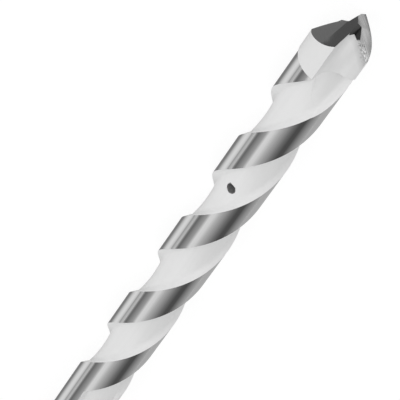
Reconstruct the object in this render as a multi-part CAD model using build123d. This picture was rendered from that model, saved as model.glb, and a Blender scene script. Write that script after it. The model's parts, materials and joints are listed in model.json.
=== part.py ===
from build123d import *
import math
import os

# Bellhanger drill bit: a long two-flute steel body with a pull-wire hole through its web and a plain
# round shank, and a straight-fluted cutting head that is joined to the front face of the body.
# Millimetres and degrees. Each piece is first made upright, with the drill axis on Z and the middle of
# the point at the origin, then laid down along X with the point towards +X.

# Overall sizes
overall_length = 304.8
head_diameter = 9.525
body_diameter = 9.15
shank_diameter = 9.0

# Flutes of the body, right-hand, with angles counted ahead of the leading edge of a land
flute_lead = 45.8
fluted_length = 93.0
land_angle = 78.0
shoulder_land_end = 265.0
wall_foot = (3.4, 4.0)
floor_middle = (3.12, 50.0)
heel_foot = (3.65, 94.0)
heel_bulge = (4.02, 96.3)
runout_rise = 0.07
runout_length = 24.0

# Pull-wire hole through the web
hole_diameter = 1.75
hole_from_tip = 41.75
hole_azimuth = 254.2

# Cutting head, with straight flutes
head_length = 10.66
head_land_angle = 79.0
head_land_end = 264.0
head_wall_foot = (2.49, 8.6)
head_floor_middle = (1.66, 54.0)
head_heel_foot = (2.35, 84.7)
head_heel_bulge = (3.86, 92.4)

# Scoop in the front of the body that carries each flute floor down to that of the head
scoop_outward = 0.27
scoop_sideways = 0.4

# Point: lip facets, heel faces behind them and the two gashes that split the point
lip_slope = 46.8
lip_azimuth = 205.3
ridge_azimuth = 71.6
ridge_offset = 0.93
ridge_fall = 36.4
heel_slope_rim = 37.3
heel_slope_core = 67.6
gash_run_slope = 48.0
gash_lip = (0.14, 0.96)
gash_corner = (0.98, -0.93)
gash_floor_tilt = 16.0
gash_corner_radius = 0.35

# Shank end
shank_chamfer = 0.8

# Side of the bit that faces up as it lies
up_azimuth = 290.0

body_radius = body_diameter / 2
head_radius = head_diameter / 2
shank_radius = shank_diameter / 2
fluted_end = -head_length - fluted_length
shank_start = fluted_end - runout_length
shank_end = -overall_length


def polar(radius, azimuth):
    """Point at a radius and an azimuth round the drill axis."""
    return (radius * math.cos(math.radians(azimuth)), radius * math.sin(math.radians(azimuth)))


def half_turn(shape):
    return Rot(0, 0, 180) * shape


def flute_lines(radius, lead, land_width, foot, middle, heel, bulge):
    """Rake wall, hollow floor and full heel of one flute, ahead of a land's leading edge."""
    wall = Line(polar(radius, lead), polar(foot[0], lead + foot[1]))
    floor = ThreePointArc(wall @ 1, polar(middle[0], lead + middle[1]), polar(heel[0], lead + heel[1]))
    rise = ThreePointArc(floor @ 1, polar(bulge[0], lead + bulge[1]),
                         polar(radius, lead + 180.0 - land_width))
    return [wall, floor, rise]


def flute_section(radius, land_end, land_width, foot, middle, heel, bulge):
    """Section with two lands and two flutes."""
    edges = []
    for turn in (0.0, 180.0):
        lead = land_end + turn
        land = ThreePointArc(polar(radius, lead - land_width), polar(radius, lead - land_width / 2),
                             polar(radius, lead))
        edges += [land] + flute_lines(radius, lead, land_width, foot, middle, heel, bulge)
    return make_face(Wire(edges))


def scoop(turn):
    """Round space that leads one flute of the body down to the deeper flute of the head."""
    lead = head_land_end + turn
    floor = ThreePointArc(polar(head_wall_foot[0], lead + head_wall_foot[1]),
                          polar(head_floor_middle[0], lead + head_floor_middle[1]),
                          polar(head_heel_foot[0], lead + head_heel_foot[1]))
    out = Vector(*polar(1.0, lead + head_floor_middle[1]))
    side = Vector(*polar(1.0, lead + head_floor_middle[1] - 90.0))
    direction = out * scoop_outward + side * scoop_sideways - Vector(0, 0, 1)
    foot = floor.arc_center - Vector(0, 0, head_length)
    return Plane(origin=foot, z_dir=direction) * Cylinder(floor.radius, 2 * head_diameter)


def runout(turn):
    """Space in which a flute leaves the rod: its own section, moved straight back and outwards."""
    lead = shoulder_land_end + turn - 360.0 * fluted_length / flute_lead
    wall, floor, rise = flute_lines(body_radius, lead, land_angle, wall_foot, floor_middle, heel_foot,
                                    heel_bulge)
    wall_past = Line(wall @ 0 + (wall @ 0 - wall @ 1), wall @ 0)
    rise_past = Line(rise @ 1, rise @ 1 + (rise % 1) * (body_radius - floor_middle[0]))
    outside = ThreePointArc(rise_past @ 1, polar(body_diameter, lead + floor_middle[1]), wall_past @ 0)
    out = Vector(*polar(runout_rise, lead + floor_middle[1]))
    section = Pos(0, 0, fluted_end) * make_face(Wire([wall_past, wall, floor, rise, rise_past, outside]))
    return extrude(section, 2 * runout_length, dir=out - Vector(0, 0, 1))


def fluted_body():
    """Rod with twisted flutes, the run-out where they end, the plain shank and the pull-wire hole."""
    turn = 360.0 * fluted_length / flute_lead
    section = flute_section(body_radius, shoulder_land_end, land_angle, wall_foot, floor_middle,
                            heel_foot, heel_bulge)
    flutes = Solid.extrude_linear_with_rotation(
        (Pos(0, 0, fluted_end) * Rot(0, 0, -turn) * section).face(),
        center=(0, 0, fluted_end), normal=(0, 0, fluted_length), angle=turn)
    profile = make_face(Polyline((0, shank_end), (shank_radius - shank_chamfer, shank_end),
                                 (shank_radius, shank_end + shank_chamfer), (shank_radius, shank_start),
                                 (body_radius, fluted_end), (0, fluted_end), close=True))
    shank = revolve(Plane.XZ * profile, Axis.Z) - runout(0.0) - runout(180.0)
    hole = Pos(0, 0, -hole_from_tip) * Rot(0, 0, hole_azimuth) * Rot(0, 90, 0) * Cylinder(
        hole_diameter / 2, body_diameter)
    return flutes + shank - hole - scoop(0.0) - scoop(180.0)


def lip_plane(turn):
    """Plane of a lip facet, which passes the middle of the point."""
    tilt = math.radians(lip_slope)
    across = math.radians(lip_azimuth + turn)
    normal = (math.sin(tilt) * math.cos(across), math.sin(tilt) * math.sin(across), math.cos(tilt))
    return Plane(origin=(0, 0, 0), z_dir=normal)


def heel_space():
    """Space above a heel face: the face is steeper near the core than at the rim."""
    ridge_start = -ridge_offset * math.tan(math.radians(lip_slope)) * math.cos(
        math.radians(lip_azimuth - ridge_azimuth - 90.0))
    sections = []
    for along, slope in ((-head_radius, heel_slope_rim), (head_radius, heel_slope_core)):
        ridge_height = ridge_start + along * math.tan(math.radians(ridge_fall))
        drop = head_radius * math.tan(math.radians(slope))
        inner, outer, top = ridge_offset - head_radius, ridge_offset + head_radius, head_length + 2 * drop
        outline = Polyline((along, inner, ridge_height + drop), (along, outer, ridge_height - drop),
                           (along, outer, top), (along, inner, top), close=True)
        sections.append(make_face(outline))
    return Rot(0, 0, ridge_azimuth) * loft(sections, ruled=True)


def gash():
    """Space that one split of the point takes away: a groove that rises across the point."""
    run = math.radians(gash_run_slope)
    across = Plane(origin=(0, 0, 0), x_dir=(1, 0, 0), z_dir=(0, -math.cos(run), -math.sin(run)))
    span = head_diameter
    floor_end = gash_corner[1] - span * math.tan(math.radians(gash_floor_tilt))
    section = make_face(Polyline((gash_lip[0], span), gash_lip, gash_corner, (gash_corner[0] + span, floor_end),
                                 (gash_corner[0] + span, span), close=True))
    groove = extrude(across * section, span, both=True)
    corner = groove.edges().sort_by_distance(across.from_local_coords((gash_corner[0], gash_corner[1], 0)))[0]
    return fillet(corner, gash_corner_radius)


def cutting_head():
    """Straight-fluted head with two lips, twisted heel faces and a split point."""
    section = flute_section(head_radius, head_land_end, head_land_angle, head_wall_foot,
                            head_floor_middle, head_heel_foot, head_heel_bulge)
    head = extrude(Pos(0, 0, -head_length) * section, head_length + head_radius)
    for turn in (0.0, 180.0):
        head = split(head, bisect_by=lip_plane(turn), keep=Keep.BOTTOM)
    for cut in (heel_space(), gash()):
        head = head - cut - half_turn(cut)
    return head


def laid(shape):
    """The bit as it lies: the point towards +X and the lands on the plane Z = 0."""
    turned = Rot(0, 90, 0) * Rot(0, 0, 180.0 - up_azimuth) * shape
    return Pos(overall_length / 2, 0, body_radius) * turned


os.makedirs("parts", exist_ok=True)
for name, piece in (("fluted_body", fluted_body()), ("cutting_head", cutting_head())):
    export_step(laid(piece), f"parts/{name}.step")
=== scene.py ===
"""Looks of a bellhanger drill bit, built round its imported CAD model.

The long body is swept again as a fine smooth mesh, because its lands are polished like a mirror. The head
is a softened copy of its CAD node. Sizes are in millimetres in the drill frame, which has the drill axis
on Z and the middle of the point at the origin, and LAY_DOWN carries them into the row frame in metres.
"""

import json
import logging
import math
from dataclasses import dataclass
from enum import Enum

import bmesh
import bpy
from bmesh.types import BMEdge, BMVert, BMesh
from bpy.types import Material, Mesh, Node, NodeOutputs, NodeSocket, NodeTree, Object
from mathutils import Matrix, Vector

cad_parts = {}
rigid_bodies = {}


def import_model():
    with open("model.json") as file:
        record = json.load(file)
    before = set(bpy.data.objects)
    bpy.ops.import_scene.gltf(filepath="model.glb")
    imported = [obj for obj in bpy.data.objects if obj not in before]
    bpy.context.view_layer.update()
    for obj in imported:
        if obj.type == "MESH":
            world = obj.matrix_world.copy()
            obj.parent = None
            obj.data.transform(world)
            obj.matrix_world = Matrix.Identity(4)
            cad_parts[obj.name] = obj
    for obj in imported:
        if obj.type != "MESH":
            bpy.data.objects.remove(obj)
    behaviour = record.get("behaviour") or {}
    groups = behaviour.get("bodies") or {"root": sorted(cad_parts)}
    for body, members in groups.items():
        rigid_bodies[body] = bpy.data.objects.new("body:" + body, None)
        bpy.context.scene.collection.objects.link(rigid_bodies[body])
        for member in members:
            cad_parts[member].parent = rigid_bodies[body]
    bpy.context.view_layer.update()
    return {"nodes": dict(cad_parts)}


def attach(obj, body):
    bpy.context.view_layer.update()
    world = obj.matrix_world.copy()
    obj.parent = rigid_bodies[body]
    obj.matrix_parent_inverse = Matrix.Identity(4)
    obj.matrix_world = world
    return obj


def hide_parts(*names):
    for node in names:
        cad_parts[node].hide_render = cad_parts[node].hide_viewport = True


LOG = logging.getLogger("bellhanger_bit")
MM = 0.001

# A ramp: pairs of a place from 0 to 1 and the grey there
Stops = tuple[tuple[float, float], ...]

# Sizes shared by the pieces, as in the part's source
OVERALL_LENGTH = 304.8
BODY_RADIUS = 4.575
HEAD_LENGTH = 10.66
UP_AZIMUTH = 290.0

LAY_DOWN = (
    Matrix.Scale(MM, 4)
    @ Matrix.Translation((OVERALL_LENGTH / 2, 0.0, BODY_RADIUS))
    @ Matrix.Rotation(math.radians(90.0), 4, "Y")
    @ Matrix.Rotation(math.radians(180.0 - UP_AZIMUTH), 4, "Z")
)
STAND_UP = LAY_DOWN.inverted()

# Grinding marks: fine lines, whose depth is in metres, coarser blotches between them, and ragged specks
LINE_DETAIL = 3.0
LINE_DEPTH = 0.00002
BLOTCH_SHARE = 0.12
COARSE_DETAIL = 2.0
SPECK_FINENESS = 2.8
SPECK_PLAIN = 0.75
SPECK_TONES = ((0.37, 0.0), (0.43, 0.55), (0.47, SPECK_PLAIN), (0.55, SPECK_PLAIN), (0.62, 1.0))


def polar(radius: float, azimuth: float, height: float = 0.0) -> Vector:
    """Return the point at a radius and an azimuth in degrees round the drill axis."""
    angle = math.radians(azimuth)
    return Vector((radius * math.cos(angle), radius * math.sin(angle), height))


def circle_centre(first: Vector, second: Vector, third: Vector) -> Vector:
    """Find the middle of the circle through three points of one level.

    Args:
        first: A point on the circle.
        second: Another point on it.
        third: A third point on it.

    Returns:
        The centre, at the level of the first point.
    """
    chord = second - first
    other = third - first
    twice = 2.0 * (chord.x * other.y - chord.y * other.x)
    square_chord = chord.x**2 + chord.y**2
    square_other = other.x**2 + other.y**2
    across = (other.y * square_chord - chord.y * square_other) / twice
    along = (chord.x * square_other - other.x * square_chord) / twice
    return first + Vector((across, along, 0.0))


def line_distance(point: Vector, foot: Vector, way: Vector) -> float:
    """Return how far a point is from the line through a foot that runs a way."""
    offset = point - foot
    return (offset - way * offset.dot(way)).length


def verts_of(items: list) -> list[BMVert]:
    """Pick the vertices out of what a bmesh operator made."""
    return [item for item in items if isinstance(item, BMVert)]


class Zone(Enum):
    """Material slots of the body's surfaces."""

    LAND = 0
    FLUTE = 1
    SHANK = 2
    HOLE = 3
    SCOOP = 4


class HeadZone(Enum):
    """Material slots of the head's surfaces."""

    PERIPHERY = 0
    FLUTE = 1
    NEAR_POINT = 2
    FAR_POINT = 3
    GASH = 4
    GASH_WALL = 5


class NodeMaker:
    """Short-hand for adding and joining shader nodes in one tree."""

    def __init__(self, tree: NodeTree) -> None:
        """Keep the tree that is built.

        Args:
            tree: The tree that gets the nodes.
        """
        self.tree = tree

    def add(self, kind: str, **values: object) -> Node:
        """Add a node and set its properties and feed its sockets.

        Args:
            kind: The node's type name.
            values: Properties by name, or sockets by name with spaces as underscores.

        Returns:
            The new node.
        """
        node = self.tree.nodes.new(kind)
        for name, value in values.items():
            if hasattr(node, name):
                setattr(node, name, value)
            else:
                self.feed(node.inputs[name.replace("_", " ")], value)
        return node

    def feed(self, socket: NodeSocket, value: object) -> None:
        """Join an output to a socket, or write a plain value on it.

        Args:
            socket: The socket that is fed.
            value: An output of another node, or the plain value.
        """
        if isinstance(value, NodeSocket):
            self.tree.links.new(value, socket)
        else:
            socket.default_value = value

    def math(self, operation: str, *values: object) -> NodeSocket:
        """Add a Math node.

        Args:
            operation: What it works out.
            values: Its inputs in order.

        Returns:
            The result.
        """
        node = self.add("ShaderNodeMath", operation=operation)
        for socket, value in zip(node.inputs, values):
            self.feed(socket, value)
        return node.outputs[0]

    def vector_math(self, operation: str, first: object, second: object) -> Node:
        """Add a Vector Math node of two vectors.

        Args:
            operation: What it works out.
            first: The first vector.
            second: The second vector.

        Returns:
            The node, with its result as a vector or as a value.
        """
        node = self.add("ShaderNodeVectorMath", operation=operation)
        self.feed(node.inputs[0], first)
        self.feed(node.inputs[1], second)
        return node

    def mix(self, share: NodeSocket, first: Node, second: Node) -> Node:
        """Add a Mix Shader node.

        Args:
            share: How much of the second shader there is.
            first: The first shader.
            second: The second shader.

        Returns:
            The mixed shader.
        """
        node = self.add("ShaderNodeMixShader", Fac=share)
        self.feed(node.inputs[1], first.outputs[0])
        self.feed(node.inputs[2], second.outputs[0])
        return node

    def ramp(self, factor: object, stops: Stops) -> NodeSocket:
        """Add a grey ramp.

        Args:
            factor: The value that is looked up.
            stops: Its places and greys.

        Returns:
            The ramp's colour.
        """
        node = self.tree.nodes.new("ShaderNodeValToRGB")
        elements = node.color_ramp.elements
        while len(elements) < len(stops):
            elements.new(0.5)
        for element, (place, grey) in zip(elements, stops):
            element.position = place
            element.color = (grey, grey, grey, 1.0)
        self.feed(node.inputs["Fac"], factor)
        return node.outputs["Color"]


def start_material(name: str) -> tuple[Material, NodeMaker]:
    """Add a material without nodes.

    Args:
        name: The material's name.

    Returns:
        The material and the maker of its nodes.
    """
    material = bpy.data.materials.new(name)
    material.use_nodes = True
    material.node_tree.nodes.clear()
    return material, NodeMaker(material.node_tree)


def start_group(name: str, values: tuple[str, ...],
                results: tuple[str, ...]) -> tuple[NodeMaker, Node, Node]:
    """Add a node group that is given a place and some values.

    Args:
        name: The group's name.
        values: The names of the values that it is given.
        results: The names of what it puts out.

    Returns:
        The maker of its nodes, the node of its inputs and the node of its outputs.
    """
    tree = bpy.data.node_groups.new(name, "ShaderNodeTree")
    tree.interface.new_socket("Place", in_out="INPUT", socket_type="NodeSocketVector")
    for value in values:
        tree.interface.new_socket(value, in_out="INPUT", socket_type="NodeSocketFloat")
    for result in results:
        tree.interface.new_socket(result, in_out="OUTPUT", socket_type="NodeSocketFloat")
    maker = NodeMaker(tree)
    return maker, maker.add("NodeGroupInput"), maker.add("NodeGroupOutput")


def streak_group() -> NodeTree:
    """Build the shared group for ground and polished metal: fine lines that run one way.

    Returns:
        The group. Its inputs are the place, the fineness of the lines and the contrast of lines and of
        blotches, and its outputs a height and a tone that is 1 on average.
    """
    values = ("Fineness", "Contrast", "Blotches")
    maker, given, put = start_group("grinding_lines", values, ("Height", "Tone"))
    place = given.outputs["Place"]
    fineness = given.outputs["Fineness"]
    lines = maker.add("ShaderNodeTexNoise", Vector=place, Scale=fineness, Detail=LINE_DETAIL)
    blotch_size = maker.math("MULTIPLY", fineness, BLOTCH_SHARE)
    blotches = maker.add("ShaderNodeTexNoise", Vector=place, Scale=blotch_size, Detail=COARSE_DETAIL)
    line_swing = maker.math("SUBTRACT", lines.outputs["Fac"], 0.5)
    blotch_swing = maker.math("SUBTRACT", blotches.outputs["Fac"], 0.5)
    line_tone = maker.math("MULTIPLY", line_swing, given.outputs["Contrast"])
    blotch_tone = maker.math("MULTIPLY", blotch_swing, given.outputs["Blotches"])
    maker.feed(put.inputs["Height"], lines.outputs["Fac"])
    maker.feed(put.inputs["Tone"], maker.math("ADD", maker.math("ADD", line_tone, blotch_tone), 1.0))
    return maker.tree


def speck_group() -> NodeTree:
    """Build the shared group for the ragged specks that grinding leaves beside an edge.

    Returns:
        The group. Its inputs are the place in millimetres and how much of the specks there is, and its
        output is a tone that is 1 where there are none.
    """
    maker, given, put = start_group("grinding_specks", ("Amount",), ("Tone",))
    noise = maker.add("ShaderNodeTexNoise", Vector=given.outputs["Place"], Scale=SPECK_FINENESS,
                      Detail=COARSE_DETAIL)
    swing = maker.math("SUBTRACT", maker.ramp(noise.outputs["Fac"], SPECK_TONES), SPECK_PLAIN)
    maker.feed(put.inputs["Tone"], maker.math("MULTIPLY_ADD", swing, given.outputs["Amount"], 1.0))
    return maker.tree


@dataclass(frozen=True)
class Effects:
    """The node groups that the finishes share."""

    lines: NodeTree
    specks: NodeTree


@dataclass(frozen=True)
class Site:
    """Where a finish is worked out: its node maker, the place in the drill frame and the effects."""

    maker: NodeMaker
    drill: NodeSocket
    effects: Effects

    def parts(self) -> NodeOutputs:
        """Split the place into X, Y and Z."""
        return self.maker.add("ShaderNodeSeparateXYZ", Vector=self.drill).outputs

    def distance(self, foot: Vector | tuple[float, float, float] = (0.0, 0.0, 0.0)) -> NodeSocket:
        """Measure how far the place is from a line along the drill: its axis, or the line at a foot."""
        flat = self.maker.vector_math("MULTIPLY", self.drill, (1.0, 1.0, 0.0)).outputs["Vector"]
        return self.maker.vector_math("DISTANCE", flat, foot).outputs["Value"]

    def specks(self, amount: NodeSocket) -> NodeSocket:
        """Scatter an amount of specks and return their tone."""
        values = {"node_tree": self.effects.specks, "Place": self.drill, "Amount": amount}
        return self.maker.add("ShaderNodeGroup", **values).outputs["Tone"]


def drill_place(maker: NodeMaker, place: NodeSocket) -> NodeSocket:
    """Turn object coordinates into millimetres in the drill frame."""
    location, turn, scale = STAND_UP.decompose()
    return maker.add("ShaderNodeMapping", Vector=place, Location=location, Rotation=turn.to_euler(),
                     Scale=scale).outputs["Vector"]


@dataclass(frozen=True)
class MetalFinish:
    """One finish of bare metal, with grinding lines.

    The lines run along a way of the drill frame and are stretch times longer than wide.
    """

    name: str
    colour: float
    metallic: float
    roughness: float
    fineness: float = 2500.0
    stretch: float = 33.0
    contrast: float = 0.1
    blotches: float = 0.06
    bump: float = 0.05
    along: tuple[float, float, float] = (0.0, 0.0, 1.0)

    def painted_shade_and_specks(self, site: Site) -> NodeSocket | float:
        """Return the painted shade and the grinding specks at each place, as a factor on the colour: here,
        none.
        """
        return 1.0

    def shine(self, site: Site) -> NodeSocket | float:
        """Return how metallic each place is: here, the same all over."""
        return self.metallic

    def make(self, effects: Effects) -> Material:
        """Build the material.

        Args:
            effects: The shared node groups.

        Returns:
            The material.
        """
        material, maker = start_material(self.name)
        place = maker.add("ShaderNodeTexCoord").outputs["Object"]
        along = LAY_DOWN.to_3x3().normalized() @ Vector(self.along)
        turn = along.to_track_quat("X", "Z").to_euler()
        mapping = maker.add("ShaderNodeMapping", vector_type="TEXTURE", Vector=place, Rotation=turn,
                            Scale=(self.stretch, 1.0, 1.0))
        lines = maker.add("ShaderNodeGroup", node_tree=effects.lines, Place=mapping.outputs["Vector"],
                          Fineness=self.fineness, Contrast=self.contrast, Blotches=self.blotches)
        site = Site(maker, drill_place(maker, place), effects)
        # The hook's factor carries painted shade, and grinding specks where a finish has them
        tone = maker.math("MULTIPLY", lines.outputs["Tone"], self.painted_shade_and_specks(site))
        grey = maker.math("MULTIPLY", tone, self.colour)
        colour = maker.add("ShaderNodeCombineColor", Red=grey, Green=grey, Blue=grey)
        roughness = maker.math("MULTIPLY", lines.outputs["Tone"], self.roughness)
        bump = maker.add("ShaderNodeBump", Height=lines.outputs["Height"], Strength=self.bump,
                         Distance=LINE_DEPTH)
        shader = maker.add("ShaderNodeBsdfPrincipled", Base_Color=colour.outputs["Color"],
                           Roughness=roughness, Metallic=self.shine(site), Normal=bump.outputs["Normal"])
        maker.add("ShaderNodeOutputMaterial", Surface=shader.outputs["BSDF"])
        return material


@dataclass(frozen=True)
class HeadFluteFinish(MetalFinish):
    """The finish of the head's flutes, with painted shade towards the cutting edge and the ground heel, a
    painted lighter band near the edge, and grinding specks by the heel.
    """

    # The edge, depth and heel ramps below paint shade and a lighter band into the colour
    edge: tuple[float, float] = (4.7625, 264.0)
    edge_reach: float = 5.2
    edge_lift: Stops = ((0.4, 0.0), (0.53, 0.06), (0.7, 0.18), (0.85, 0.13), (1.0, 0.0))
    lift_depth: float = 9.5
    lift_fade: Stops = ((0.5, 1.0), (0.95, 0.1))
    plain_tones: Stops = ((0.5, 0.9), (0.95, 0.97))
    heel_normal: tuple[float, float, float] = (0.8, 0.07, 0.59)
    heel_reach: float = 1.3
    heel_tones: Stops = ((0.0, 0.64), (0.45, 0.84), (1.0, 1.0))
    speck_reach: float = 0.7
    speck_amounts: Stops = ((0.0, 0.8), (1.0, 0.0))

    def painted_shade_and_specks(self, site: Site) -> NodeSocket:
        """Paint shade on the flutes by their distance from the leading edges and from the ground heels,
        with a painted lighter band near the edges.

        Args:
            site: Where the finish is worked out.

        Returns:
            The factor on the colour.
        """
        maker = site.maker
        distances = []
        heights = []
        for half in (1.0, -1.0):
            distances.append(site.distance(polar(*self.edge) * half))
            normal = Vector(self.heel_normal) * Vector((half, half, 1.0))
            heights.append(maker.vector_math("DOT_PRODUCT", site.drill, normal).outputs["Value"])
        from_edge = maker.math("DIVIDE", maker.math("MINIMUM", *distances), self.edge_reach)
        under_heel = maker.math("MULTIPLY", maker.math("MAXIMUM", *heights), -1.0)
        # Painted shade: darker close under the ground heels
        by_heel = maker.ramp(maker.math("DIVIDE", under_heel, self.heel_reach), self.heel_tones)
        beside_heel = maker.math("DIVIDE", under_heel, self.speck_reach)
        specks = site.specks(maker.ramp(beside_heel, self.speck_amounts))
        depth = maker.math("DIVIDE", site.parts()["Z"], -self.lift_depth)
        # Painted light: a lighter band some way from the cutting edge, over painted shade that is darker
        # near the point
        lift = maker.ramp(from_edge, self.edge_lift)
        faded = maker.math("MULTIPLY", lift, maker.ramp(depth, self.lift_fade))
        by_edge = maker.math("ADD", faded, maker.ramp(depth, self.plain_tones))
        return maker.math("MULTIPLY", maker.math("MULTIPLY", by_edge, by_heel), specks)


@dataclass(frozen=True)
class FarPointFinish(MetalFinish):
    """The finish of the point's far face: brushed, with a painted shading gradient across it, and specks
    by the flute.
    """

    across_middle: float = 1.2
    radius_middle: float = 3.0
    change: float = 0.15
    speck_edge: float = 1.1
    speck_radius: float = 2.6
    speck_amounts: Stops = ((0.2, 1.0), (1.0, 0.0))
    speck_shine: Stops = ((0.05, 1.0), (0.22, 0.0))

    def painted_shade_and_specks(self, site: Site) -> NodeSocket:
        """Paint a shading gradient on the face by its place across and outwards, and add the specks.

        Args:
            site: Where the finish is worked out.

        Returns:
            The factor on the colour.
        """
        maker = site.maker
        across = maker.math("SUBTRACT", site.parts()["Y"], self.across_middle)
        inwards = maker.math("SUBTRACT", self.radius_middle, site.distance())
        # Painted shade: a gradient by the place across the face and the distance from the axis
        tone = maker.math("MULTIPLY_ADD", maker.math("MULTIPLY", across, inwards), self.change, 1.0)
        return maker.math("MULTIPLY", tone, self.specks(site))

    def specks(self, site: Site) -> NodeSocket:
        """Scatter specks beside the flute.

        Args:
            site: Where the finish is worked out.

        Returns:
            The tone of the specks, 1 where there are none.
        """
        maker = site.maker
        beside = maker.ramp(maker.math("DIVIDE", site.parts()["Y"], self.speck_edge), self.speck_amounts)
        outside = maker.math("GREATER_THAN", site.distance(), self.speck_radius)
        return site.specks(maker.math("MULTIPLY", beside, outside))

    def shine(self, site: Site) -> NodeSocket:
        """Leave the light specks matt, so they stay white whatever the metal round them mirrors."""
        return site.maker.ramp(site.maker.math("SUBTRACT", self.specks(site), 1.0), self.speck_shine)


@dataclass(frozen=True)
class ScoopFinish(MetalFinish):
    """The finish of the scoops behind the head, with painted shade that gets darker across their deep
    middle.

    Its tones are halved, because a ramp ends at 1 and they pass it.
    """

    width: float = 3.0
    half_tones: Stops = ((0.25, 0.542), (0.45, 0.514), (0.75, 0.474))
    half_rim_tone: float = 0.521
    deep_radius: float = 2.95
    rim_width: float = 0.6

    def painted_shade_and_specks(self, site: Site) -> NodeSocket:
        """Paint shade on a scoop by the distance from the drill's own Y plane, and less so near its rim.

        Args:
            site: Where the finish is worked out.

        Returns:
            The factor on the colour.
        """
        maker = site.maker
        # Painted shade: darker across the scoop's deep middle, as shade falls in a hollow
        outwards = maker.math("SUBTRACT", site.distance(), self.deep_radius)
        at_rim = maker.ramp(maker.math("DIVIDE", outwards, self.rim_width), ((0.0, 0.0), (1.0, 1.0)))
        across = maker.math("DIVIDE", maker.math("ABSOLUTE", site.parts()["X"]), self.width)
        middle = maker.ramp(across, self.half_tones)
        rim_change = maker.math("SUBTRACT", self.half_rim_tone, middle)
        half_tone = maker.math("MULTIPLY_ADD", rim_change, at_rim, middle)
        return maker.math("MULTIPLY", half_tone, 2.0)


POLISHED_LAND = MetalFinish("polished_land", 0.88, 1.0, 0.045, contrast=0.05, blotches=0.03, bump=0.02)
MATT_FLUTE = MetalFinish("matt_flute", 0.8, 0.12, 0.6, fineness=1500.0, contrast=0.06, blotches=0.05)
# The scoop's colour carries painted shade in its deep middle
MATT_SCOOP = ScoopFinish("matt_scoop", 0.8, 0.12, 0.6, fineness=1500.0, contrast=0.06, blotches=0.05)
DRAWN_SHANK = MetalFinish("drawn_shank", 0.78, 1.0, 0.22, contrast=0.08)
# The hole's grey is darker than the other steel: painted shade inside the hole
DRILLED_HOLE = MetalFinish("drilled_hole", 0.45, 0.5, 0.5, contrast=0.4)
MATT_HEAD = MetalFinish("matt_head", 0.77, 0.1, 0.6, fineness=1200.0, contrast=0.04, blotches=0.05)
# The head flute's colour carries painted shade and a painted lighter band
HEAD_FLUTE = HeadFluteFinish("head_flute", 0.82, 0.12, 0.6, fineness=1500.0, contrast=0.08, blotches=0.12)
NEAR_POINT = MetalFinish("near_ground_point", 0.8, 1.0, 0.15, fineness=4000.0, contrast=0.12, bump=0.1,
                         along=(0.488, -0.87, 0.074))
# The far point's colour carries a painted shading gradient
FAR_POINT = FarPointFinish("far_ground_point", 0.8, 1.0, 0.25, fineness=4000.0, contrast=1.2, blotches=0.6,
                           bump=0.2, along=(0.57, 0.21, -0.79))
# The gashes' dark greys are painted shade and shadow: the gash faces are ground steel like the rest of the
# point
GASH = MetalFinish("dark_gash", 0.2, 1.0, 0.25, fineness=4000.0, contrast=0.2)
GASH_WALL = MetalFinish("dark_gash_wall", 0.055, 1.0, 0.25, fineness=4000.0, contrast=0.2)

# The finishes in the order of Zone and of HeadZone
BODY_FINISHES = (POLISHED_LAND, MATT_FLUTE, DRAWN_SHANK, DRILLED_HOLE, MATT_SCOOP)
HEAD_FINISHES = (MATT_HEAD, HEAD_FLUTE, NEAR_POINT, FAR_POINT, GASH, GASH_WALL)


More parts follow.
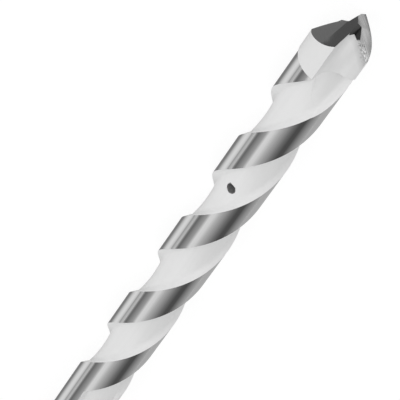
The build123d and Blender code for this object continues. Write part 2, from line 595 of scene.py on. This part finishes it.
@dataclass
class FlutedBody:
    """The steel body: twisted flutes, run-out, plain shank and pull-wire hole."""

    # Flutes, run-out, shank, hole and scoops, as in the part's source but for the scoops' sideways lean
    lead: float = 45.8
    fluted_length: float = 93.0
    land_angle: float = 78.0
    land_end: float = 265.0
    wall_foot: tuple[float, float] = (3.4, 4.0)
    floor_middle: tuple[float, float] = (3.12, 50.0)
    heel_foot: tuple[float, float] = (3.65, 94.0)
    heel_bulge: tuple[float, float] = (4.02, 96.3)
    runout_rise: float = 0.07
    runout_length: float = 24.0
    shank_radius: float = 4.5
    shank_chamfer: float = 0.8
    hole_diameter: float = 1.75
    hole_from_tip: float = 41.75
    hole_azimuth: float = 254.2
    scoop_lead: float = 264.0
    scoop_arc: tuple[tuple[float, float], ...] = ((2.49, 8.6), (1.66, 54.0), (2.35, 84.7))
    scoop_outward: float = 0.27
    scoop_sideways: float = 0.47

    # How fine the mesh is
    land_steps: int = 26
    floor_steps: int = 12
    heel_steps: int = 2
    degrees_a_step: float = 2.0
    hole_segments: int = 96
    scoop_segments: int = 192
    weld: float = 0.002
    sharp_angle: float = 35.0
    flute_sharp_angle: float = 60.0

    # How far a face may lie off its surface, and where the scoops end
    land_slack: float = 0.012
    hole_slack: float = 0.01
    scoop_slack: float = 0.006
    scoop_reach: float = 16.0

    # How far what is cut away reaches past the steel
    overlap: float = 0.02
    wall_run_on: float = 1.25
    outside_corners: tuple[float, ...] = (70.0, 35.0, 0.0)
    outside_radius: float = 1.5 * BODY_RADIUS
    hole_cutter_length: float = 3.0 * BODY_RADIUS
    scoop_cutter_length: float = 8.0 * BODY_RADIUS

    def arc(self, bm: BMesh, start: BMVert, middle: Vector, end: Vector, steps: int) -> BMVert:
        """Spin a vertex along the arc through three points.

        Args:
            bm: The mesh that is built.
            start: The vertex that the arc begins at.
            middle: A point on the arc.
            end: Where the arc ends.
            steps: How many edges it gets.

        Returns:
            The vertex at the end.
        """
        centre = circle_centre(start.co.copy(), middle, end)
        before = start.co - centre
        after = end - centre
        between = middle - centre
        turn = math.atan2(before.x * after.y - before.y * after.x, before.x * after.x + before.y * after.y)
        to_middle = math.atan2(before.x * between.y - before.y * between.x,
                               before.x * between.x + before.y * between.y)
        if turn * to_middle < 0:
            turn -= math.copysign(math.tau, turn)
        spun = bmesh.ops.spin(bm, geom=[start], cent=centre, axis=(0, 0, 1), angle=turn, steps=steps)
        return verts_of(spun["geom_last"])[0]

    def section(self, bm: BMesh, height: float) -> list[BMEdge]:
        """Draw the closed section of two lands and two flutes at the foot of the flutes.

        Args:
            bm: The mesh that is built.
            height: The level of the section on the drill axis.

        Returns:
            The section's edges.
        """
        lead = self.land_end
        vert = bmesh.ops.create_vert(bm, co=polar(BODY_RADIUS, lead - self.land_angle, height))["vert"][0]
        vert = self.arc(bm, vert, polar(BODY_RADIUS, lead - self.land_angle / 2, height),
                        polar(BODY_RADIUS, lead, height), self.land_steps)
        self.flute_lines(bm, vert, lead, height)
        twin = bmesh.ops.duplicate(bm, geom=bm.verts[:] + bm.edges[:])["geom"]
        bmesh.ops.rotate(bm, cent=(0, 0, 0), matrix=Matrix.Rotation(math.pi, 3, "Z"), verts=verts_of(twin))
        bmesh.ops.remove_doubles(bm, verts=bm.verts[:], dist=self.weld)
        return bm.edges[:]

    def flute_lines(self, bm: BMesh, start: BMVert, lead: float, height: float) -> BMVert:
        """Draw the rake wall, the floor and the heel of a flute.

        Args:
            bm: The mesh that is built.
            start: The vertex at the outer end of the wall.
            lead: The azimuth of the land's leading edge in degrees.
            height: The level of the section on the drill axis.

        Returns:
            The vertex where the heel meets the next land.
        """
        foot = bmesh.ops.extrude_vert_indiv(bm, verts=[start])["verts"][0]
        foot.co = polar(self.wall_foot[0], lead + self.wall_foot[1], height)
        heel = polar(self.heel_foot[0], lead + self.heel_foot[1], height)
        vert = self.arc(bm, foot, polar(self.floor_middle[0], lead + self.floor_middle[1], height),
                        heel, self.floor_steps)
        return self.arc(bm, vert, polar(self.heel_bulge[0], lead + self.heel_bulge[1], height),
                        polar(BODY_RADIUS, lead + 180.0 - self.land_angle, height), self.heel_steps)

    def runout(self, bm: BMesh, turn: float) -> None:
        """Add the space in which a flute leaves the rod: its section, moved straight back and outwards.

        Args:
            bm: The mesh that is built.
            turn: Half a turn or none, for the two flutes.
        """
        drawn = bmesh.new()
        lead = self.land_end + turn - 360.0 * self.fluted_length / self.lead
        out = polar(self.runout_rise, lead + self.floor_middle[1]) - Vector((0, 0, 1))
        edge = polar(BODY_RADIUS, lead)
        foot = polar(self.wall_foot[0], lead + self.wall_foot[1])
        start = bmesh.ops.create_vert(drawn, co=foot + (edge - foot) * self.wall_run_on)["vert"][0]
        vert = self.flute_lines(drawn, start, lead, 0.0)
        for ahead in (180.0 - self.land_angle, *self.outside_corners):
            vert = bmesh.ops.extrude_vert_indiv(drawn, verts=[vert])["verts"][0]
            vert.co = polar(self.outside_radius, lead + ahead)
        drawn.edges.new((vert, start))
        bmesh.ops.contextual_create(drawn, geom=drawn.edges[:])
        bmesh.ops.translate(drawn, verts=drawn.verts[:],
                            vec=Vector((0, 0, -HEAD_LENGTH - self.fluted_length)) - out * self.overlap)
        made = bmesh.ops.extrude_face_region(drawn, geom=drawn.faces[:])["geom"]
        bmesh.ops.translate(drawn, verts=verts_of(made), vec=out * 2 * self.runout_length)
        bmesh.ops.recalc_face_normals(drawn, faces=drawn.faces[:])
        mesh = bpy.data.meshes.new("runout")
        drawn.to_mesh(mesh)
        drawn.free()
        bm.from_mesh(mesh)
        bpy.data.meshes.remove(mesh)

    def fluted_mesh(self) -> BMesh:
        """Sweep the section up its screw and add the rod and the shank below it.

        Returns:
            The closed solid, upright in the drill frame.
        """
        bm = bmesh.new()
        foot = -HEAD_LENGTH - self.fluted_length
        turn = 360.0 * self.fluted_length / self.lead
        steps = round(turn / self.degrees_a_step)
        edges = self.section(bm, foot)
        bmesh.ops.rotate(bm, verts=bm.verts[:], cent=(0, 0, 0),
                         matrix=Matrix.Rotation(math.radians(-turn), 3, "Z"))
        bmesh.ops.spin(bm, geom=edges + bm.verts[:], cent=(0, 0, 0), axis=(0, 0, 1),
                       angle=math.radians(turn), steps=steps, dvec=(0, 0, self.fluted_length / steps))
        ring = [edge for edge in bm.edges if edge.is_boundary and edge.verts[0].co.z < foot + self.weld]
        shank_start = foot - self.runout_length
        shank_end = -OVERALL_LENGTH
        for level, radius in ((foot - self.overlap, BODY_RADIUS), (shank_start, self.shank_radius),
                              (shank_end + self.shank_chamfer, self.shank_radius),
                              (shank_end, self.shank_radius - self.shank_chamfer)):
            made = bmesh.ops.extrude_edge_only(bm, edges=ring)["geom"]
            ring = [item for item in made if isinstance(item, BMEdge) and item.is_boundary]
            for vert in verts_of(made):
                share = radius / math.hypot(vert.co.x, vert.co.y)
                vert.co = Vector((vert.co.x * share, vert.co.y * share, level))
        bmesh.ops.holes_fill(bm, edges=bm.edges[:])
        bmesh.ops.recalc_face_normals(bm, faces=bm.faces[:])
        return bm

    def cutters(self) -> BMesh:
        """Build what is cut away: the pull-wire hole, the scoops behind the head and the run-outs.

        Returns:
            Three cylinders and two prisms, upright in the drill frame.
        """
        bm = bmesh.new()
        hole = (Matrix.Translation((0, 0, -self.hole_from_tip))
                @ Matrix.Rotation(math.radians(self.hole_azimuth), 4, "Z")
                @ Matrix.Rotation(math.radians(90.0), 4, "Y"))
        hole_radius = self.hole_diameter / 2
        bmesh.ops.create_cone(bm, cap_ends=True, segments=self.hole_segments, radius1=hole_radius,
                              radius2=hole_radius, depth=self.hole_cutter_length, matrix=hole)
        for turn in (0.0, 180.0):
            centre, way, radius = self.scoop(turn)
            place = Matrix.Translation(centre) @ way.to_track_quat("Z", "Y").to_matrix().to_4x4()
            bmesh.ops.create_cone(bm, cap_ends=True, segments=self.scoop_segments, radius1=radius,
                                  radius2=radius, depth=self.scoop_cutter_length, matrix=place)
            self.runout(bm, turn)
        return bm

    def scoop(self, turn: float) -> tuple[Vector, Vector, float]:
        """Place the round space that leads one flute down to that of the head.

        Args:
            turn: Half a turn for the second flute, in degrees.

        Returns:
            A point on its axis, the direction of the axis and the radius.
        """
        lead = self.scoop_lead + turn
        points = [polar(radius, lead + ahead, -HEAD_LENGTH) for radius, ahead in self.scoop_arc]
        centre = circle_centre(*points)
        middle = lead + self.scoop_arc[1][1]
        way = polar(self.scoop_outward, middle, -1.0) + polar(self.scoop_sideways, middle - 90.0)
        return centre, way.normalized(), (points[0] - centre).length

    def in_scoop(self, point: Vector, turn: float) -> bool:
        """Say whether a point of the drill frame lies on the wall of a scoop."""
        foot, way, radius = self.scoop(turn)
        return line_distance(point, foot, way) < radius + self.scoop_slack

    def zone(self, centre: Vector) -> Zone:
        """Tell the surfaces of the body apart.

        Args:
            centre: The middle of a face in the drill frame, in millimetres.

        Returns:
            The zone that the face belongs to.
        """
        flutes_end = -HEAD_LENGTH - self.fluted_length
        past_flutes = min(max(flutes_end - centre.z, 0.0) / self.runout_length, 1.0)
        rod_radius = BODY_RADIUS + (self.shank_radius - BODY_RADIUS) * past_flutes
        hole_middle = Vector((0, 0, -self.hole_from_tip))
        hole_distance = line_distance(centre, hole_middle, polar(1.0, self.hole_azimuth))
        if past_flutes == 1.0:
            return Zone.SHANK
        if hole_distance < self.hole_diameter / 2 + self.hole_slack:
            return Zone.HOLE
        if math.hypot(centre.x, centre.y) > rod_radius - self.land_slack:
            return Zone.LAND
        if centre.z < -HEAD_LENGTH - self.scoop_reach:
            return Zone.FLUTE
        return Zone.SCOOP if self.in_scoop(centre, 0.0) or self.in_scoop(centre, 180.0) else Zone.FLUTE

    def build(self, finishes: tuple[Material, ...]) -> Object:
        """Make the finished piece in the row frame.

        Args:
            finishes: The materials in the order of Zone.

        Returns:
            The body, which stands for the CAD node.
        """
        body = settle(self.fluted_mesh(), "smooth_body")
        cutter = settle(self.cutters(), "cutters")
        cut = body.modifiers.new("cut", "BOOLEAN")
        cut.operation = "DIFFERENCE"
        cut.solver = "MANIFOLD"
        cut.object = cutter
        apply_modifiers(body)
        bpy.data.objects.remove(cutter)
        body.data.materials.clear()
        for finish in finishes:
            body.data.materials.append(finish)
        for face in body.data.polygons:
            face.material_index = self.zone(STAND_UP @ face.center).value
        soften(body.data, self.sharp_angle, {Zone.FLUTE.value: self.flute_sharp_angle},
               {Zone.FLUTE.value, Zone.SCOOP.value})
        return body


@dataclass
class CuttingHead:
    """The straight-fluted head: a copy of its CAD node with softened edges."""

    edge_width: float = 0.035
    sharp_angle: float = 28.0
    flute_sharp_angle: float = 50.0
    weld: float = 0.002
    flat_angle: float = 0.6

    # How the faces of the CAD node are told apart, by where they lie and how much they face up or sideways
    periphery_radius: float = 4.70
    lip_azimuth: float = 205.3
    point_facing: float = 0.15
    point_height: float = 0.1
    gash_slope: float = 48.0
    gash_slack: float = 0.01
    gash_facing: tuple[float, float] = (0.05, 0.99)
    gash_reach: float = 3.0
    gash_wall: float = 0.14
    gash_wall_slack: float = 0.02
    flat_wall_facing: float = 0.999
    wall_facing: float = 0.6

    # The pale corners, where the painted gash shadow stops, each beyond two planes that are kept as a
    # normal and a distance
    corner_slack: float = 0.0001
    pale_corner: tuple[tuple[float, float, float, float], ...] = (
        (-0.542, -0.572, -0.615, 1.31), (0.703, -0.494, -0.512, 1.995))

    def zone(self, centre: Vector, normal: Vector) -> HeadZone:
        """Tell the surfaces of the head apart.

        Args:
            centre: The middle of a face in the drill frame, in millimetres.
            normal: Its normal in that frame.

        Returns:
            The zone that the face belongs to.
        """
        radius = math.hypot(centre.x, centre.y)
        slope = math.radians(self.gash_slope)
        wall_distance = abs(abs(centre.x) - self.gash_wall)
        on_wall = abs(normal.x) > self.flat_wall_facing and wall_distance < self.gash_wall_slack
        # Faces in the gashes take the dark gash finishes, which carry painted shade and shadow
        for way in (1.0, -1.0):
            run = Vector((0.0, way * math.cos(slope), -math.sin(slope)))
            in_groove = abs(normal.dot(run)) < self.gash_slack and normal.z > self.gash_facing[0]
            if (in_groove or on_wall) and radius < self.gash_reach and normal.z < self.gash_facing[1]:
                return HeadZone.GASH_WALL if abs(normal.x) > self.wall_facing else HeadZone.GASH
        if normal.z > self.point_facing and centre.z > self.point_height - HEAD_LENGTH:
            near = centre.dot(polar(1.0, self.lip_azimuth)) >= 0.0
            return HeadZone.NEAR_POINT if near else HeadZone.FAR_POINT
        return HeadZone.PERIPHERY if radius > self.periphery_radius else HeadZone.FLUTE

    def mark_pale_corners(self, bm: BMesh) -> None:
        """Leave the outer corner of each gash as pale as the flute beside it, without the painted gash
        shadow.

        Args:
            bm: The head, upright in the drill frame, with its finishes on the faces.
        """
        dark = (HeadZone.GASH.value, HeadZone.GASH_WALL.value)
        for half in (1.0, -1.0):
            planes = [(Vector((x * half, y * half, z)), offset) for x, y, z, offset in self.pale_corner]
            for normal, offset in planes:
                faces = [face for face in bm.faces if face.material_index in dark]
                edges = list({edge for face in faces for edge in face.edges})
                verts = list({vert for face in faces for vert in face.verts})
                bmesh.ops.bisect_plane(bm, geom=verts + edges + faces, plane_co=normal * offset,
                                       plane_no=normal, dist=self.corner_slack)
            for face in bm.faces:
                centre = face.calc_center_median()
                if face.material_index in dark and all(centre.dot(way) > offset for way, offset in planes):
                    face.material_index = HeadZone.FLUTE.value

    def build(self, node: Object, finishes: tuple[Material, ...]) -> Object:
        """Make the finished piece in the row frame.

        Args:
            node: The CAD node of the head.
            finishes: The materials in the order of HeadZone.

        Returns:
            The head, which stands for the CAD node.
        """
        bm = bmesh.new()
        bm.from_mesh(node.data)
        bmesh.ops.remove_doubles(bm, verts=bm.verts[:], dist=self.weld * MM)
        bmesh.ops.dissolve_limit(bm, angle_limit=math.radians(self.flat_angle), verts=bm.verts[:],
                                 edges=bm.edges[:], delimit={"NORMAL"})
        bmesh.ops.transform(bm, matrix=STAND_UP, verts=bm.verts[:])
        bm.normal_update()
        for face in bm.faces:
            face.material_index = self.zone(face.calc_center_median(), face.normal).value
        self.mark_pale_corners(bm)
        head = settle(bm, "ground_head")
        mesh = head.data
        for finish in finishes:
            mesh.materials.append(finish)
        soften(mesh, self.sharp_angle, {HeadZone.FLUTE.value: self.flute_sharp_angle},
               {HeadZone.GASH.value, HeadZone.GASH_WALL.value})
        bevel = head.modifiers.new("softened", "BEVEL")
        bevel.width = self.edge_width * MM
        bevel.segments = 2
        bevel.limit_method = "WEIGHT"
        bevel.harden_normals = True
        return head


def settle(bm: BMesh, name: str) -> Object:
    """Lay an upright mesh down in the row frame as an object of its own.

    Args:
        bm: The mesh, which is freed.
        name: The name of the object and its mesh.

    Returns:
        The object, at the origin.
    """
    bmesh.ops.transform(bm, matrix=LAY_DOWN, verts=bm.verts[:])
    mesh = bpy.data.meshes.new(name)
    bm.to_mesh(mesh)
    bm.free()
    piece = bpy.data.objects.new(name, mesh)
    bpy.context.scene.collection.objects.link(piece)
    return piece


def soften(mesh: Mesh, sharp_angle: float, own_angles: dict[int, float], alike: set[int]) -> None:
    """Shade a mesh smooth, apart from its sharp edges and those between two finishes.

    Args:
        mesh: The mesh, with its finishes on the faces.
        sharp_angle: The angle in degrees from which an edge stays sharp.
        own_angles: The same angle for single finishes that have their own.
        alike: Finishes that run smoothly into each other and whose other edges stay keen.
    """
    bm = bmesh.new()
    bm.from_mesh(mesh)
    weight = bm.edges.layers.float.new("bevel_weight_edge")
    for face in bm.faces:
        face.smooth = True
    for edge in bm.edges:
        finishes = {face.material_index for face in edge.link_faces}
        within_one = len(finishes) == 1
        limit = own_angles.get(min(finishes), sharp_angle) if within_one else sharp_angle
        bent = edge.calc_face_angle(0.0) > math.radians(limit)
        edge.smooth = not bent and (within_one or finishes <= alike)
        edge[weight] = 1.0 if bent and not finishes & alike else 0.0
    bm.to_mesh(mesh)
    bm.free()


def apply_modifiers(piece: Object) -> None:
    """Replace a piece's mesh by what its modifiers make of it.

    Args:
        piece: The piece, which keeps no modifiers.
    """
    bpy.context.view_layer.update()
    graph = bpy.context.evaluated_depsgraph_get()
    mesh = bpy.data.meshes.new_from_object(piece.evaluated_get(graph))
    piece.modifiers.clear()
    piece.data = mesh
    mesh.name = piece.name


@dataclass(frozen=True)
class Card:
    """A grey card that is held flat over the floor, where only polished metal mirrors it.

    Its grey is plain or has bands by the angle down from the bit's side, in quarter turns. The lowest
    corner, the size along X and Y and the height are in millimetres in the row frame.
    """

    name: str
    grey: float | Stops
    corner: tuple[float, float]
    size: tuple[float, float]
    height: float = 0.3


# What the polished metal mirrors beside the bit
BANDS_BEHIND = (
    (0.0, 0.52), (0.08, 0.46), (0.13, 0.32), (0.18, 0.58), (0.26, 0.7), (0.36, 0.74), (0.5, 0.64),
    (0.66, 0.38), (0.76, 0.22), (0.88, 0.2), (1.0, 0.22))
CARDS = (
    Card("dark_card_by_the_point", 0.085, (151.5, 2.5), (70.0, 60.0)),
    Card("grey_card_by_the_point", 0.16, (140.0, 2.5), (11.5, 60.0)),
    Card("grey_card_in_front", 0.42, (-1500.0, -2900.0), (3000.0, 2902.0)),
    Card("banded_card_behind", BANDS_BEHIND, (-1500.0, 2.0), (1640.0, 2900.0)),
    Card("first_card_by_the_point", 0.42, (136.0, -5.0), (24.0, 2.6), 0.4),
    Card("second_card_by_the_point", 0.56, (136.0, -9.4), (24.0, 4.4), 0.4),
    Card("third_card_by_the_point", 0.46, (136.0, -16.4), (24.0, 7.0), 0.4),
    Card("fourth_card_by_the_point", 0.58, (136.0, -28.0), (24.0, 11.6), 0.4),
)


@dataclass
class Studio:
    """Camera, floor, cards, lamp and world of the photograph.

    The camera's place is in body radii in the drill frame, and the lamp's is in metres in the row frame.
    """

    lens: float = 246.7
    sensor_width: float = 36.0
    seen_depth: tuple[float, float] = (0.01, 50.0)
    camera_place: tuple[float, float, float] = (-0.82, -63.263, 59.114)
    camera_right: tuple[float, float, float] = (0.81888, 0.42675, 0.38381)
    camera_up: tuple[float, float, float] = (-0.57396, 0.60885, 0.54759)
    floor_size: float = 6000.0
    floor_grey: float = 0.16
    floor_glow: float = 0.88
    floor_bounce: float = 0.8
    side_reach: float = 4.3
    side_height: float = 5.5
    sky: Stops = (
        (0.0, 0.5), (0.03, 0.24), (0.06, 0.14), (0.2, 0.36), (0.26, 0.72), (0.33, 0.68), (0.42, 0.44),
        (0.6, 0.16), (0.69, 0.075), (0.76, 0.075), (0.88, 0.26), (1.0, 0.4))
    soft_way: tuple[float, float, float] = (0.0, 0.8, -0.6)
    soft_light: Stops = ((0.0, 0.63), (1.0, 0.975))
    soft_strength: float = 1.22
    lamp_place: tuple[float, float, float] = (0.3, 0.35, 0.35)
    lamp_target: tuple[float, float, float] = (0.12, 0.0, 0.005)
    lamp_watts: float = 0.28
    lamp_size: float = 0.3

    def camera(self) -> None:
        """Set the camera at the photograph's angle."""
        data = bpy.data.cameras.new("photo_camera")
        data.lens = self.lens
        data.sensor_width = self.sensor_width
        data.clip_start, data.clip_end = self.seen_depth
        camera = bpy.data.objects.new("photo_camera", data)
        turn = LAY_DOWN.to_3x3().normalized()
        right = (turn @ Vector(self.camera_right)).normalized()
        up = (turn @ Vector(self.camera_up)).normalized()
        back = right.cross(up).normalized()
        up = back.cross(right)
        place = LAY_DOWN @ (Vector(self.camera_place) * BODY_RADIUS)
        camera.matrix_world = Matrix.Translation(place) @ Matrix((right, up, back)).transposed().to_4x4()
        bpy.context.scene.collection.objects.link(camera)
        bpy.context.scene.camera = camera

    def sheet(self, name: str, corner: tuple[float, float], size: tuple[float, float], height: float,
              material: Material) -> Object:
        """Lay a flat sheet that belongs to the studio and not to the bit.

        Args:
            name: The sheet's name.
            corner: Its lowest X and Y in millimetres in the row frame.
            size: Its length along X and Y in millimetres.
            height: Its height in millimetres.
            material: What it is made of.

        Returns:
            The sheet.
        """
        bm = bmesh.new()
        bmesh.ops.create_grid(bm, x_segments=1, y_segments=1, size=0.5)
        bmesh.ops.scale(bm, vec=(size[0] * MM, size[1] * MM, 1.0), verts=bm.verts[:])
        middle = Vector((corner[0] + size[0] / 2, corner[1] + size[1] / 2, height))
        bmesh.ops.translate(bm, verts=bm.verts[:], vec=middle * MM)
        mesh = bpy.data.meshes.new(name)
        bm.to_mesh(mesh)
        bm.free()
        mesh.materials.append(material)
        sheet = bpy.data.objects.new(name, mesh)
        bpy.context.scene.collection.objects.link(sheet)
        return sheet

    def eye(self, maker: NodeMaker, path: Node) -> NodeSocket:
        """Return 1 for what the camera sees straight or through something clear, and 0 for other light."""
        return maker.math("MAXIMUM", path.outputs["Is Camera Ray"], path.outputs["Is Transmission Ray"])

    def floor(self) -> None:
        """Lay the pale floor, which stays white and keeps the bit's soft shadow."""
        material, maker = start_material("white_floor")
        grey = self.floor_grey
        bounce = self.floor_bounce
        matt = maker.add("ShaderNodeBsdfDiffuse", Color=(grey, grey, grey, 1.0))
        glow = maker.add("ShaderNodeEmission", Color=(1.0, 1.0, 1.0, 1.0), Strength=self.floor_glow)
        seen = maker.add("ShaderNodeAddShader")
        maker.feed(seen.inputs[0], matt.outputs[0])
        maker.feed(seen.inputs[1], glow.outputs[0])
        plain = maker.add("ShaderNodeBsdfDiffuse", Color=(bounce, bounce, bounce, 1.0))
        path = maker.add("ShaderNodeLightPath")
        shown = maker.math("MAXIMUM", self.eye(maker, path), path.outputs["Is Glossy Ray"])
        maker.add("ShaderNodeOutputMaterial", Surface=maker.mix(shown, plain, seen).outputs[0])
        size = self.floor_size
        self.sheet("floor", (-size / 2, -size / 2), (size, size), 0.0, material)

    def card(self, card: Card) -> None:
        """Hold a card over the floor.

        Args:
            card: The card.
        """
        material, maker = start_material(card.name)
        if isinstance(card.grey, float):
            colour = (card.grey, card.grey, card.grey, 1.0)
        else:
            place = maker.add("ShaderNodeTexCoord")
            parts = maker.add("ShaderNodeSeparateXYZ", Vector=place.outputs["Object"])
            away = maker.math("SUBTRACT", parts.outputs["Y"], self.side_reach * MM)
            angle = maker.math("ARCTAN2", self.side_height * MM, away)
            colour = maker.ramp(maker.math("DIVIDE", angle, math.pi / 2), card.grey)
        glow = maker.add("ShaderNodeEmission", Color=colour)
        maker.add("ShaderNodeOutputMaterial", Surface=glow.outputs[0])
        held = self.sheet(card.name, card.corner, card.size, card.height, material)
        held.visible_camera = False
        held.visible_diffuse = False
        held.visible_shadow = False
        held.visible_transmission = False

    def world(self) -> None:
        """Surround the bit with a white room that has darker bands along the bit for polished metal."""
        world = bpy.data.worlds.new("studio")
        bpy.context.scene.world = world
        world.use_nodes = True
        world.node_tree.nodes.clear()
        maker = NodeMaker(world.node_tree)
        way = maker.add("ShaderNodeTexCoord").outputs["Generated"]
        parts = maker.add("ShaderNodeSeparateXYZ", Vector=way)
        angle = maker.math("ARCTAN2", parts.outputs["Z"], parts.outputs["Y"])
        bands = maker.ramp(maker.math("DIVIDE", angle, math.pi), self.sky)
        mirrored = maker.add("ShaderNodeBackground", Color=bands)
        facing = maker.vector_math("DOT_PRODUCT", way, self.soft_way).outputs["Value"]
        across = maker.math("MULTIPLY_ADD", facing, 0.5, 0.5)
        soft = maker.add("ShaderNodeBackground", Color=maker.ramp(across, self.soft_light),
                         Strength=self.soft_strength)
        white = maker.add("ShaderNodeBackground", Color=(1.0, 1.0, 1.0, 1.0))
        path = maker.add("ShaderNodeLightPath")
        unseen = maker.mix(path.outputs["Is Glossy Ray"], soft, mirrored)
        room = maker.mix(self.eye(maker, path), unseen, white)
        maker.add("ShaderNodeOutputWorld", Surface=room.outputs[0])

    def lamp(self) -> None:
        """Hang a soft square lamp that faces the bit's head."""
        data = bpy.data.lights.new("key_lamp", "AREA")
        data.energy = self.lamp_watts
        data.size = self.lamp_size
        lamp = bpy.data.objects.new("key_lamp", data)
        lamp.visible_glossy = False
        lamp.location = self.lamp_place
        lamp.rotation_mode = "QUATERNION"
        way = Vector(self.lamp_target) - Vector(self.lamp_place)
        lamp.rotation_quaternion = way.to_track_quat("-Z", "Y")
        bpy.context.scene.collection.objects.link(lamp)

    def build(self) -> None:
        """Set up everything round the bit."""
        self.camera()
        self.floor()
        for card in CARDS:
            self.card(card)
        self.world()
        self.lamp()


def main() -> None:
    """Build the bit and its studio, and log the face counts of the new pieces."""
    logging.basicConfig(level=logging.INFO, format="%(message)s")
    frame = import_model()
    bpy.context.scene.view_settings.view_transform = "Standard"
    Studio().build()
    effects = Effects(streak_group(), speck_group())
    body = FlutedBody().build(tuple(finish.make(effects) for finish in BODY_FINISHES))
    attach(body, "root")
    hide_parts("fluted_body")
    LOG.info("smooth_body: %d faces", len(body.data.polygons))
    hard_metal = tuple(finish.make(effects) for finish in HEAD_FINISHES)
    head = CuttingHead().build(frame["nodes"]["cutting_head"], hard_metal)
    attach(head, "root")
    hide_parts("cutting_head")
    LOG.info("ground_head: %d faces", len(head.data.polygons))


if __name__ == "__main__":
    main()
